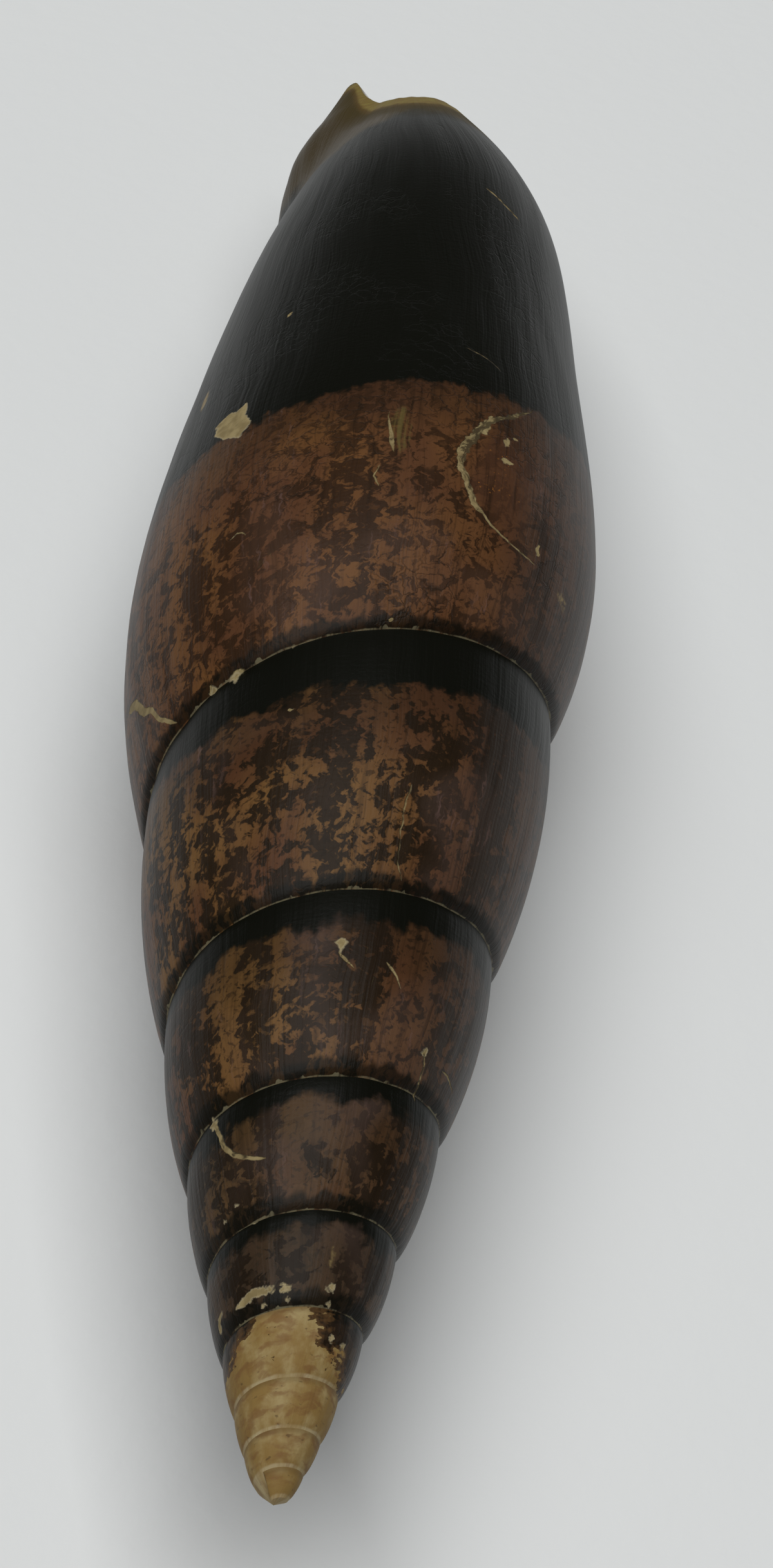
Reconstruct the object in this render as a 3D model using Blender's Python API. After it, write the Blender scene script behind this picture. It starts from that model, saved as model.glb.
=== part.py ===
"""Miter shell: the shell of a zoned mitre, lying on a surface on its aperture.

The shell grew as one piece, so it is one solid. Its wall is a band wound round an axis. A place on
the band has a turn n, which is 0 at the outer lip and falls by 1 with each turn toward the apex, and
a height y along the axis from the apex. The hollow that the animal lived in enters at the aperture
and runs back inside the last turns. Lengths are metres.
"""

import math

import bpy
import numpy as np
from mathutils import Euler, Matrix

MM = 0.001

# Growth: the suture is the seam where a whorl meets the one before it. Its height along the axis and
# its radius are given at whole turns, and a cubic in their logarithms runs through them.
SUTURE_TURNS = np.arange(-8, 2)
SUTURE_HEIGHTS = np.array([0.2, 1.1, 2.4, 4.3, 6.9, 10.7, 16.3, 25.0, 39.5, 64.8]) * MM
SUTURE_RADII = np.array([0.8, 1.0, 1.4, 1.9, 2.5, 3.5, 4.8, 6.6, 8.5, 10.6]) * MM
HEIGHT_OFFSET = 1.15 * MM       # keeps the logarithm finite where the height reaches 0
FIRST_TURN = -8.5               # the nucleus at the apex
NUCLEUS_TURNS = 2.2             # turns over which the nucleus opens from a point
NUCLEUS_DROP = 0.12 * MM
LIP_ANGLE = math.radians(-57.0)  # of the outer lip round the axis, from +X toward +Z

# Whorl profiles
WHORL_SWELL = (0.044, 0.044)    # bulge of a spire whorl, near its back and its front, per height
BODY_LENGTH = 80.0 * MM         # height at which the body whorl's profile ends
BODY_PROFILE = (1.0, 1.32, 1.36, 1.13, 0.99, 1.05, 0.92, 0.285)  # radius over the suture's radius
BODY_GROWTH = (-0.92, 2.14)     # how the front of the body whorl widens with each turn
BODY_MIDDLE = -0.37             # turn at which the profile holds as it is given
SUTURE_STEP = 0.22 * MM         # each whorl's back edge stands proud of the whorl behind it
SUTURE_STEP_RADIUS = 8.0 * MM   # radius at which the step has that height
SUTURE_STEP_WIDTH = 0.24 * MM

# Front end: the fasciole is the swollen band that the siphonal notch leaves as it moves round
FASCIOLE_HEIGHT = 2.0 * MM
FASCIOLE_START = 0.93           # share of the body whorl's height where it begins, at BODY_MIDDLE
FASCIOLE_SLOPE = 0.70           # that share's change in one turn
RIM_HEIGHT = 79.4 * MM
TIP_HEIGHT = 2.6 * MM           # the columella's tip above the rim
NOTCH_DEPTH = 1.3 * MM
LIP_CORNER_DROP = 2.2 * MM
LIP_SETBACK = 0.030             # turns by which the lip leans back at its front corner
FRONT_FLARE = 0.40 * MM         # how far the wall swells behind the lip's front part
LIP_FLARE = 0.80 * MM           # how far the lip itself turns outward, which keeps the shell from rolling
LIP_FLARE_TURNS = 0.13

# Aperture and hollow
LIP_THICKNESS = 0.60 * MM
WALL_THICKNESS = 1.04 * MM
HOLLOW_TURNS = 1.9
HOLLOW_OPEN_TURNS = 0.53        # the hollow reaches the front rim this far round, as the notch
THINNEST_GAP = 0.08 * MM
FOLD_HEIGHTS = np.array([49.4, 52.0, 54.5, 56.8, 58.9]) * MM  # of the columella's folds, at the lip
FOLD_DEPTHS = np.array([0.64, 0.62, 0.54, 0.44, 0.32]) * MM
FOLD_WIDTH = 0.60 * MM

# Facets
FACETS_PER_TURN = 40
SPIRE_ROWS = np.array([0.0, 0.04, 0.26, 0.50, 0.75, 1.0])
BODY_ROWS = np.linspace(0.0, 1.0, 18) ** 0.9
HOLLOW_MOUTH = (0.0, 0.015, 0.04, 0.075, 0.12, 0.17, 0.23, 0.29, 0.35)
HOLLOW_STATIONS = 30
COLUMELLA_ROWS = (4, 20, 9)     # behind, across and in front of the folds
PROFILE_SAMPLES = 1601

# Rest: turned about the axis and tipped until the lip and the belly of the body whorl touch down
REST_ROLL = math.radians(-5.5)
REST_PITCH = math.radians(-0.6)
REST_WEAR = 0.08 * MM           # depth to which the belly and the lip are rubbed flat where they touch

SHELL_COLOUR = (0.115, 0.042, 0.016, 1.0)
SHELL_ROUGHNESS = 0.38


def smooth(start, end, x):
    """0 before start, 1 after end, and t*t*(3-2t) between them."""
    t = np.clip((x - start) / (end - start), 0.0, 1.0)
    return t * t * (3.0 - 2.0 * t)


HEIGHT_LAW = np.polyfit(SUTURE_TURNS, np.log(SUTURE_HEIGHTS + HEIGHT_OFFSET), 3)
RADIUS_LAW = np.polyfit(SUTURE_TURNS, np.log(SUTURE_RADII), 3)


def suture_height(turn):
    """Height of the seam at the back of the whorl."""
    drop = NUCLEUS_DROP * (1.0 - smooth(FIRST_TURN, FIRST_TURN + 1.6, turn))
    return np.exp(np.polyval(HEIGHT_LAW, turn)) - HEIGHT_OFFSET - drop


def suture_radius(turn):
    """Radius of the seam, opening from a point at the nucleus."""
    opening = np.clip((turn - FIRST_TURN) / NUCLEUS_TURNS, 0.0, 1.0) ** 0.27
    return np.exp(np.polyval(RADIUS_LAW, turn)) * opening


def spire_radius(turn, height):
    """A cone from one seam to the next, with a low swelling."""
    back, front = suture_height(turn), suture_height(turn + 1)
    inner, outer = suture_radius(turn), suture_radius(turn + 1)
    u = np.clip((height - back) / (front - back), 0.0, 1.0)
    swell = 4 * u * (1 - u) * (WHORL_SWELL[0] * (1 - u) + WHORL_SWELL[1] * u)
    return inner + (outer - inner) * u + (front - back) * swell


def body_radius(turn, height):
    """A Bezier curve in the logarithm of the radius, widened in front with growth, plus the fasciole
    and the lip's flare."""
    back = suture_height(turn)
    q = (height - back) / (BODY_LENGTH - back)
    order = len(BODY_PROFILE) - 1
    curve = sum(
        math.comb(order, i) * q**i * (1 - q) ** (order - i) * math.log(share)
        for i, share in enumerate(BODY_PROFILE)
    )
    growth = (turn - BODY_MIDDLE) * (BODY_GROWTH[0] * q + BODY_GROWTH[1] * q * q)
    band = q - (FASCIOLE_START + FASCIOLE_SLOPE * (turn - BODY_MIDDLE + 0.03))
    round_turn = smooth(-0.47, -0.64, turn) * (1 - 0.72 * smooth(-0.74, -1.02, turn))
    fasciole = FASCIOLE_HEIGHT * round_turn * smooth(-0.02, 0.15, band)
    flare = FRONT_FLARE * smooth(-0.40, -0.12, turn) * smooth(0.50, 0.90, q)
    flare = flare + LIP_FLARE * smooth(-LIP_FLARE_TURNS, 0.0, turn) * smooth(0.10, 0.30, q)
    return suture_radius(turn) * np.exp(curve + growth) + fasciole + flare


def wall_radius(turn, height, step=0.0):
    """Outer surface of the wall: spire profile up to the next seam, body profile in front of it."""
    turn, height = np.broadcast_arrays(np.asarray(turn, float), np.asarray(height, float))
    back, front = suture_height(turn), suture_height(turn + 1)
    spire, body = spire_radius(turn, height), body_radius(turn, height)
    share = smooth(-1.0, -0.90, turn)
    radius = np.where(height <= front, spire * (1 - share) + body * share, body)
    above = np.clip(height - back, 0.0, None)
    rise = (1 - np.exp(-above / SUTURE_STEP_WIDTH)) * np.clip(1 - above / (front - back), 0.0, 1.0)
    size = (suture_radius(turn) / SUTURE_STEP_RADIUS) ** 0.7
    return radius + step * size * rise * smooth(FIRST_TURN + 2.0, FIRST_TURN + 4.4, turn)


def front_rim(turn):
    """Height of the front rim round the last turn: columella tip, siphonal notch, lip corner."""
    point = 0.84 * np.exp(-(((turn + 0.595) / 0.042) ** 2))
    skirt = 0.25 * np.exp(-(((turn + 0.66) / 0.11) ** 2))
    notch = NOTCH_DEPTH * (smooth(-0.56, -0.42, turn) - 0.6 * smooth(-0.40, -0.28, turn))
    corner = LIP_CORNER_DROP * smooth(-0.26, -0.04, turn)
    columella = 0.8 * MM * (1 - smooth(-1.0, -0.72, turn))
    return RIM_HEIGHT + TIP_HEIGHT * (point + skirt) - notch - corner - columella


def lean(turn, height):
    """The lip leans back at its front corner, and the wall behind it follows."""
    back = LIP_SETBACK * smooth(0.80 * BODY_LENGTH, 0.99 * BODY_LENGTH, height)
    return turn - back * smooth(-0.22, 0.0, turn)


def place(turn, height, radius):
    """Point at a turn, height and radius; the axis runs along +Y from the apex."""
    turn, height, radius = np.broadcast_arrays(turn, height, radius)
    angle = LIP_ANGLE - 2 * math.pi * turn
    return np.stack([radius * np.cos(angle), height, radius * np.sin(angle)], axis=-1)


class Skin:
    """Points and faces of the closed surface, added patch by patch."""

    def __init__(self):
        self.points = []
        self.faces = []

    def add(self, points):
        """Add an array of points and return the array of their numbers."""
        first = len(self.points)
        self.points.extend(points.reshape(-1, 3))
        return np.arange(first, len(self.points)).reshape(points.shape[:-1])

    def face(self, corners):
        """Add a face, leaving out corners that coincide."""
        kept = list(dict.fromkeys(int(corner) for corner in corners))
        if len(kept) > 2:
            self.faces.append(kept)

    def grid(self, numbers, flip=False):
        """Fill a grid of points with quads."""
        quads = np.stack([numbers[:-1, :-1], numbers[1:, :-1], numbers[1:, 1:], numbers[:-1, 1:]], -1)
        for quad in quads.reshape(-1, 4):
            self.face(quad[::-1] if flip else quad)

    def join(self, left, left_at, right, right_at, flip=False):
        """Fill between two chains of points with triangles, matching their places along the chain."""
        i = j = 0
        while i < len(left) - 1 or j < len(right) - 1:
            step_left = j == len(right) - 1 or (i < len(left) - 1 and left_at[i + 1] <= right_at[j + 1])
            corner = left[i + 1] if step_left else right[j + 1]
            triangle = (left[i], right[j], corner)
            self.face(triangle[::-1] if flip else triangle)
            i, j = (i + 1, j) if step_left else (i, j + 1)


def add_outside(skin):
    """The spire's band, closed on itself along the seam, and the body whorl in front of the last seam."""
    columns = int(round(-FIRST_TURN * FACETS_PER_TURN))
    turns = FIRST_TURN + np.arange(columns + 1) / FACETS_PER_TURN
    turns[-1] = 0.0
    backs = suture_height(turns)
    seam = skin.add(place(turns, backs, wall_radius(turns, backs)))

    last = turns > -1.0 + 1e-9
    seam_gap = suture_height(0.0) - suture_height(-1.0)
    fronts = np.where(last, backs + seam_gap * (1.25 + 0.25 * turns), suture_height(turns + 1))
    heights = backs[:, None] + (fronts - backs)[:, None] * SPIRE_ROWS[1:]
    leaned = lean(turns[:, None], heights)
    points = place(leaned, heights, wall_radius(leaned, heights, SUTURE_STEP))
    band = np.empty((columns + 1, len(SPIRE_ROWS)), int)
    band[:, 0] = seam
    band[:, 1:-1] = skin.add(points[:, :-1])
    band[~last, -1] = seam[FACETS_PER_TURN:]
    band[last, -1] = skin.add(points[last, -1])
    skin.grid(band)

    turns = turns[-FACETS_PER_TURN - 1 :]
    fronts = fronts[-FACETS_PER_TURN - 1 :]
    heights = fronts[:, None] + (front_rim(turns) - fronts)[:, None] * BODY_ROWS
    leaned = lean(turns[:, None], heights)
    points = place(leaned, heights, wall_radius(leaned, heights, SUTURE_STEP))
    body = np.empty(heights.shape, int)
    body[:, 0] = band[-FACETS_PER_TURN - 1 :, -1]
    body[:, 1:] = skin.add(points[:, 1:])
    skin.grid(body)

    first_turn = np.linspace(0.0, 1.0, FACETS_PER_TURN + 1)
    skin.join(band[0], SPIRE_ROWS, seam[: FACETS_PER_TURN + 1], first_turn, flip=True)
    lip_heights = np.concatenate([backs[-1] + (fronts[-1] - backs[-1]) * SPIRE_ROWS, heights[-1, 1:]])
    return band, body, turns, heights[0], lip_heights


def hollow_section(turn):
    """Heights, wall radii and columella radii across the hollow at one turn, and its two ends."""
    back = suture_height(turn)
    heights = np.linspace(back, 1.035 * BODY_LENGTH, PROFILE_SAMPLES)
    inside = smooth(0.0, 0.16, -turn)
    thickness = LIP_THICKNESS + (WALL_THICKNESS - LIP_THICKNESS) * inside
    thickness *= suture_radius(turn) / suture_radius(0.0)
    run_out = 0.16 * MM + 4.8 * MM * (1 - smooth(0.0, 0.10, -turn))
    wall = wall_radius(turn, heights) - thickness * smooth(0.0, run_out, heights - back)
    columella = wall_radius(turn - 1, heights)
    gap = wall - columella
    widest = int(np.argmax(gap))
    closed = np.flatnonzero(gap[:widest] <= 0)
    corner = heights[closed[-1]] if len(closed) and turn < 0 else back
    top = front_rim(turn)
    if turn < -HOLLOW_OPEN_TURNS:
        narrow = np.flatnonzero(gap[widest:] <= 1.5 * THINNEST_GAP)
        closing = heights[widest + narrow[0]] if len(narrow) else top
        top = min(closing, (0.965 + 0.10 * (turn + HOLLOW_OPEN_TURNS)) * BODY_LENGTH)
    return heights, wall, columella, corner, top


def columella_radius(turn, height):
    """The earlier whorl and the columella, with its folds wound back along the growth of the shell."""
    shrink = suture_height(turn) / suture_height(0.0)
    depth = smooth(0.0, 0.05, -turn) * suture_radius(turn) / suture_radius(0.0)
    places = (height[:, None] - FOLD_HEIGHTS * shrink) / (FOLD_WIDTH * shrink)
    return wall_radius(turn - 1, height) + depth * (FOLD_DEPTHS * np.exp(-(places**2))).sum(axis=1)


def add_hollow(skin, band, body, body_turns, columella_heights, lip_heights):
    """The inside of the wall, the columella, the lip's edge, the front rim and the columella's tip."""
    back_part = np.linspace(0.40, HOLLOW_TURNS, HOLLOW_STATIONS)
    stations = -np.concatenate([HOLLOW_MOUTH, back_part])
    open_count = int(np.sum(stations >= -HOLLOW_OPEN_TURNS))
    rows = (lip_heights - lip_heights[0]) / (lip_heights[-1] - lip_heights[0])
    narrowing = 1 - 0.75 * smooth(0.88, 1.0, -stations / HOLLOW_TURNS)

    wall_points = []
    columella_points = []
    columella_at = []
    for number, turn in enumerate(stations):
        heights, wall, columella, corner, top = hollow_section(turn)
        at = corner + (top - corner) * rows
        leaned = lean(turn, at)
        if number == 0:
            edge = LIP_THICKNESS * smooth(0.0, 4.8 * MM, at - corner)
            radius = wall_radius(leaned, at, SUTURE_STEP) - edge
        else:
            base = wall_radius(turn - 1, at)
            gap = np.maximum(np.interp(at, heights, wall) - base, THINNEST_GAP)
            radius = base + gap * narrowing[number]
            radius[0] = base[0]
            if number >= open_count:
                radius[-1] = base[-1]
        wall_points.append(place(leaned, at, radius))
        if number:
            shrink = suture_height(turn) / suture_height(0.0)
            start = max(0.963 * FOLD_HEIGHTS[0] * shrink, corner + 1.0 * MM)
            end = 1.04 * FOLD_HEIGHTS[-1] * shrink
            tip = front_rim(-1.0) + 1.0 * MM * smooth(0.0, 0.5, -turn) if number < open_count else top
            behind, across, before = COLUMELLA_ROWS
            at = np.concatenate([
                np.linspace(corner, start, behind + 1),
                np.linspace(start, end, across + 1)[1:],
                np.linspace(end, tip, before + 1)[1:],
            ])
            columella_points.append(place(turn, at, columella_radius(turn, at)))
            columella_at.append(at)
    wall_points = np.array(wall_points)
    columella_points = np.array(columella_points)

    seam_end = band[-1, 0]
    wall_grid = np.empty(wall_points.shape[:2], int)
    wall_grid[0, 0] = seam_end
    wall_grid[1:, 0] = skin.add(wall_points[1:, 0])
    wall_grid[:, 1:] = skin.add(wall_points[:, 1:])
    columella_grid = np.empty(columella_points.shape[:2], int)
    columella_grid[:, 0] = wall_grid[1:, 0]
    columella_grid[:, 1:] = skin.add(columella_points[:, 1:])
    columella_grid[open_count - 1 :, -1] = wall_grid[open_count:, -1]
    skin.grid(wall_grid)
    skin.grid(columella_grid, flip=True)

    def shares(values):
        return (values - values[0]) / (values[-1] - values[0])

    skin.join(columella_grid[0], shares(columella_at[0]), body[0], shares(columella_heights))
    skin.join(wall_grid[-1], rows, columella_grid[-1], shares(columella_at[-1]))
    lip = np.stack([np.concatenate([band[-1], body[-1, 1:]]), wall_grid[0]])
    skin.grid(lip)

    rim = body[:, -1][::-1]
    rim_at = -body_turns[::-1]
    open_turns = -stations[:open_count]
    open_rim = rim_at <= open_turns[-1] + 1e-9
    skin.join(rim[open_rim], rim_at[open_rim], wall_grid[:open_count, -1], open_turns)
    end = open_count - 1
    skin.face((wall_grid[end, -1], wall_grid[end + 1, -1], columella_grid[end - 1, -1]))

    tip_loop = np.concatenate([
        rim[open_rim][-1:],
        rim[~open_rim],
        columella_grid[:end, -1],
        wall_grid[end:open_count, -1],
    ])
    centre = np.mean([skin.points[number] for number in tip_loop], axis=0)
    centre[1] += 0.3 * MM
    middle = skin.add(centre[None])[0]
    for here, after in zip(tip_loop, np.roll(tip_loop, -1)):
        skin.face((after, here, middle))


def shell_material():
    """Brown horny skin over the shell, satin."""
    material = bpy.data.materials.new("periostracum")
    material.use_nodes = True
    surface = material.node_tree.nodes["Principled BSDF"]
    surface.inputs["Base Color"].default_value = SHELL_COLOUR
    surface.inputs["Roughness"].default_value = SHELL_ROUGHNESS
    surface.inputs["Metallic"].default_value = 0.0
    return material


def make_shell(collection):
    """The shell's mesh in its rest pose, its bounding box standing centred on the origin."""
    skin = Skin()
    band, body, body_turns, columella_heights, lip_heights = add_outside(skin)
    add_hollow(skin, band, body, body_turns, columella_heights, lip_heights)
    mesh = bpy.data.meshes.new("shell")
    mesh.from_pydata([tuple(point) for point in skin.points], [], skin.faces)
    rest = Euler((REST_PITCH, REST_ROLL, 0.0)).to_matrix().to_4x4()
    mesh.transform(rest)
    floor = min(vertex.co.z for vertex in mesh.vertices) + REST_WEAR
    for vertex in mesh.vertices:
        vertex.co.z = max(vertex.co.z, floor)
    corners = np.array([vertex.co for vertex in mesh.vertices])
    low, high = corners.min(axis=0), corners.max(axis=0)
    mesh.transform(Matrix.Translation((-(low[0] + high[0]) / 2, -(low[1] + high[1]) / 2, -low[2])))
    mesh.shade_smooth()
    mesh.set_sharp_from_angle(angle=math.radians(40))
    mesh.materials.append(shell_material())
    shell = bpy.data.objects.new("shell", mesh)
    collection.objects.link(shell)
    return shell


for old in list(bpy.data.objects):
    bpy.data.objects.remove(old)
parts = bpy.data.collections.new("miter_shell")
bpy.context.scene.collection.children.link(parts)
make_shell(parts)
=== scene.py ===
"""A zoned mitre's shell, lying on its aperture on pale paper, with its apex toward the viewer."""

import math

import bpy
import numpy as np
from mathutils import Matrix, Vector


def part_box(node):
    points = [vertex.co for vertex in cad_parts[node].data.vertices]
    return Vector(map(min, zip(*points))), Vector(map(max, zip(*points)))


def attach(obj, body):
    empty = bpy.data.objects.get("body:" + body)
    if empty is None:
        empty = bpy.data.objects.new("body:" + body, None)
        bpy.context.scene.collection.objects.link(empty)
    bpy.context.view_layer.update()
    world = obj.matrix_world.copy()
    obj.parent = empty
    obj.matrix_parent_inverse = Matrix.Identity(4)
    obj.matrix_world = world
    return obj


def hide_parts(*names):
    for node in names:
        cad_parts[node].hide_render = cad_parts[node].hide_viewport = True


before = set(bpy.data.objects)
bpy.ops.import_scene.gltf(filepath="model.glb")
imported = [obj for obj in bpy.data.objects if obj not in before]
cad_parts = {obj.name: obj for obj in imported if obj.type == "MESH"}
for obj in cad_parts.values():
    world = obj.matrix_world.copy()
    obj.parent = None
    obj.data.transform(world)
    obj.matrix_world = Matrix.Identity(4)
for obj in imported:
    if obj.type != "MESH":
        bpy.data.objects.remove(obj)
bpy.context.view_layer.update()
MM = 0.001

# ------------------------------------------------------------------------------------------------
# The growing band
# The animal added to one edge all its life, so the wall is a single band wound round an axis. A
# place on it has a turn, 0 at the outer lip and falling by 1 with each turn toward the apex, and a
# height along the axis. The solid follows the same laws, without the relief.
SUTURE_TURNS = np.arange(-8, 2)
SUTURE_HEIGHTS = np.array([0.2, 1.1, 2.4, 4.3, 6.9, 10.7, 16.3, 25.0, 39.5, 64.8]) * MM
SUTURE_RADII = np.array([0.8, 1.0, 1.4, 1.9, 2.5, 3.5, 4.8, 6.6, 8.5, 10.6]) * MM
HEIGHT_OFFSET = 1.15 * MM
FIRST_TURN = -8.5
LIP_ANGLE = math.radians(-57.0)
HEIGHT_LAW = np.polyfit(SUTURE_TURNS, np.log(SUTURE_HEIGHTS + HEIGHT_OFFSET), 3)
RADIUS_LAW = np.polyfit(SUTURE_TURNS, np.log(SUTURE_RADII), 3)
WHORL_SWELL = 0.044
BODY_LENGTH = 80.0 * MM
BODY_PROFILE = (1.0, 1.32, 1.36, 1.13, 0.99, 1.05, 0.92, 0.285)
SEAM_STEP = 0.22 * MM
LIP_THICKNESS = 0.60 * MM
WALL_THICKNESS = 1.04 * MM
HOLLOW_TURNS = 1.9
REST_ROLL = math.radians(-5.5)
REST_PITCH = math.radians(-0.6)
REST_WEAR = 0.08 * MM


def smooth(start, end, x):
    """0 before start, 1 after end, and t*t*(3-2t) between them."""
    t = np.clip((x - start) / (end - start), 0.0, 1.0)
    return t * t * (3.0 - 2.0 * t)


def suture_height(turn):
    """Height of the seam at the back of a whorl: the exponential of a cubic in the turn."""
    drop = 0.12 * MM * (1.0 - smooth(FIRST_TURN, FIRST_TURN + 1.6, turn))
    return np.exp(np.polyval(HEIGHT_LAW, turn)) - HEIGHT_OFFSET - drop


def suture_radius(turn):
    """Radius of the seam: the exponential of a cubic, opening from a point at the nucleus."""
    return np.exp(np.polyval(RADIUS_LAW, turn)) * np.clip((turn - FIRST_TURN) / 2.2, 0.0, 1.0) ** 0.27


def spire_radius(turn, height):
    """A cone from one seam to the next with a parabola's swelling on it."""
    back, front = suture_height(turn), suture_height(turn + 1)
    inner, outer = suture_radius(turn), suture_radius(turn + 1)
    u = np.clip((height - back) / (front - back), 0.0, 1.0)
    return inner + (outer - inner) * u + (front - back) * 4 * u * (1 - u) * WHORL_SWELL


def body_radius(turn, height):
    """The seam's radius times a Bezier curve of shares, widening in front as the shell grows, plus
    the fasciole's band, which moves back with the turn, and the flare of the lip."""
    back = suture_height(turn)
    q = (height - back) / (BODY_LENGTH - back)
    order = len(BODY_PROFILE) - 1
    curve = sum(
        math.comb(order, i) * q**i * (1 - q) ** (order - i) * math.log(share)
        for i, share in enumerate(BODY_PROFILE)
    )
    growth = (turn + 0.37) * (2.14 * q * q - 0.92 * q)
    band = q - (0.93 + 0.70 * (turn + 0.40))
    round_turn = smooth(-0.47, -0.64, turn) * (1 - 0.72 * smooth(-0.74, -1.02, turn))
    fasciole = 2.0 * MM * round_turn * smooth(-0.02, 0.15, band)
    flare = 0.40 * MM * smooth(-0.40, -0.12, turn) * smooth(0.50, 0.90, q)
    flare = flare + 0.80 * MM * smooth(-0.13, 0.0, turn) * smooth(0.10, 0.30, q)
    return suture_radius(turn) * np.exp(curve + growth) + fasciole + flare


def wall_radius(turn, height, step=0.0):
    """Spire curve up to the next seam and body curve in front of it; each whorl's back edge stands
    proud of the one before by the step, which fades toward the next seam."""
    turn, height = np.broadcast_arrays(np.asarray(turn, float), np.asarray(height, float))
    back, front = suture_height(turn), suture_height(turn + 1)
    spire, body = spire_radius(turn, height), body_radius(turn, height)
    share = smooth(-1.0, -0.90, turn)
    radius = np.where(height <= front, spire * (1 - share) + body * share, body)
    above = np.clip(height - back, 0.0, None)
    rise = (1 - np.exp(-above / (0.24 * MM))) * np.clip(1 - above / (front - back), 0.0, 1.0)
    size = (suture_radius(turn) / (8.0 * MM)) ** 0.7
    return radius + step * size * rise * smooth(FIRST_TURN + 2.0, FIRST_TURN + 4.4, turn)


def front_rim(turn):
    """Height of the front rim: the columella's point, the siphonal notch and the lip's corner."""
    point = 0.84 * np.exp(-(((turn + 0.595) / 0.042) ** 2)) + 0.25 * np.exp(-(((turn + 0.66) / 0.11) ** 2))
    notch = 1.3 * (smooth(-0.56, -0.42, turn) - 0.6 * smooth(-0.40, -0.28, turn))
    corner = 2.2 * smooth(-0.26, -0.04, turn) + 0.8 * (1 - smooth(-1.0, -0.72, turn))
    return (79.4 + 2.6 * point - notch - corner) * MM


def lean(turn, height):
    """The lip leans back at its front corner, and the wall behind it follows."""
    return turn - 0.030 * smooth(64.0 * MM, 79.2 * MM, height) * smooth(-0.22, 0.0, turn)


def relief(turn, height):
    """Low ridges of uneven growth, parallel to the lip: sines of the turn whose spacing wanders, a
    shallow groove along the seam, and kinks in the seam's edge."""
    above = (height - suture_height(turn)) / MM
    wander = turn + 0.012 * np.sin(0.35 * above + 3.0 * turn)
    ridges = np.sin(118 * wander + 2.2 * np.sin(31 * wander)) + 0.7 * np.sin(203 * wander + 1.4)
    size = suture_radius(turn) / suture_radius(0.0)
    groove = np.exp(-((above / 0.16) ** 2))
    kinks = np.abs(np.sin(23.0 * turn + 2.0 * np.sin(11.0 * turn))) + 0.5 * np.abs(np.sin(57.0 * turn)) - 0.9
    kinks = 0.045 * size * kinks * np.exp(-above / 0.5)
    return (0.011 * size * ridges * smooth(0.3, 1.5, above) - 0.03 * groove + kinks) * MM


def place(turn, height, radius):
    """Point at a turn, height and radius; the axis runs along +Y from the apex."""
    turn, height, radius = np.broadcast_arrays(turn, height, radius)
    angle = LIP_ANGLE - 2 * math.pi * turn
    return np.stack([radius * np.cos(angle), height, radius * np.sin(angle)], axis=-1)


# ------------------------------------------------------------------------------------------------
# Flaws and zones
# The horny skin carries a black zone along the front of every whorl. Knocks have flaked it off to
# the cream shell below, old cuts have healed as pale scars, and the apex is worn bare.
ARC_TURNS = np.linspace(FIRST_TURN, 0.0, 1701)
ARC_STEPS = 2 * math.pi * 1.15 * suture_radius(ARC_TURNS) / MM * (ARC_TURNS[1] - ARC_TURNS[0])
ARC_LENGTHS = np.cumsum(ARC_STEPS)
UNMARKED_MM = 3.0

# Each outline or line: (turn, height mm) of its origin, then points in mm, along growth and forward.
CHIPS = (
    ((-0.505, 45.2), ((-1.6, -0.15), (-1.2, 0.3), (-0.6, 0.75), (-0.1, 0.6), (0.15, 0.9), (0.42, 1.1),
                      (0.36, 0.1), (0.6, -0.4), (0.9, -0.9), (0.55, -1.3), (0.2, -1.6), (-0.05, -1.2),
                      (-0.5, -1.1), (-0.95, -0.5))),
    ((-0.500, 31.35), ((-0.42, -0.2), (-0.02, 0.06), (0.38, 0.0), (0.3, -0.4), (-0.16, -0.6),
                       (-0.38, -0.36))),
    ((-0.522, 31.0), ((-0.2, -0.1), (0.0, 0.2), (0.2, 0.05), (0.05, -0.2))),
    ((-0.451, 31.9), ((-0.3, -0.02), (-0.1, 0.16), (0.32, 0.1), (0.1, -0.12))),
    ((-2.389, 18.6), ((-0.34, 0.3), (0.3, 0.36), (0.1, -0.1), (0.04, -0.44), (-0.04, -0.1))),
    ((-2.272, 16.0), ((-0.2, -0.05), (0.02, 0.26), (0.14, 0.1), (0.1, -0.2))),
    ((-3.547, 12.7), ((-0.22, -0.1), (-0.05, 0.3), (0.22, 0.12), (0.05, -0.25))),
    ((-3.538, 9.0), ((-0.1, -0.08), (0.0, 0.12), (0.12, -0.02))),
    ((-3.515, 9.3), ((-0.09, -0.05), (0.0, 0.09), (0.12, 0.0))),
    ((-3.485, 8.6), ((-0.14, -0.04), (0.05, 0.08), (0.12, -0.03))),
    ((-4.483, 6.17), ((-0.8, -0.3), (-0.42, 0.02), (-0.15, 0.13), (0.57, 0.14), (0.6, -0.06),
                      (0.06, -0.12), (-0.5, -0.34))),
    ((-4.423, 6.25), ((-0.13, 0.12), (0.16, 0.14), (0.2, -0.08), (-0.06, -0.15))),
    ((-4.331, 6.58), ((-0.13, 0.06), (0.11, 0.15), (0.14, -0.14), (-0.05, -0.18))),
    ((-4.322, 6.09), ((-0.08, -0.05), (0.0, 0.09), (0.1, -0.04))),
    ((-4.464, 5.75), ((-0.12, -0.05), (0.0, 0.07), (0.13, -0.02))),
    ((-4.413, 5.89), ((-0.14, -0.04), (0.0, 0.07), (0.14, 0.0))),
    ((-4.592, 5.92), ((-0.3, -0.35), (-0.14, 0.08), (0.2, 0.22), (0.02, -0.04), (-0.14, -0.38))),
    ((-5.253, 4.92), ((-0.2, 0.06), (0.12, 0.32), (0.06, 0.02), (0.28, -0.12), (0.0, -0.16))),
    ((-5.298, 5.02), ((-0.06, -0.12), (-0.04, 0.14), (0.08, 0.1), (0.06, -0.14))),
)
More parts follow.
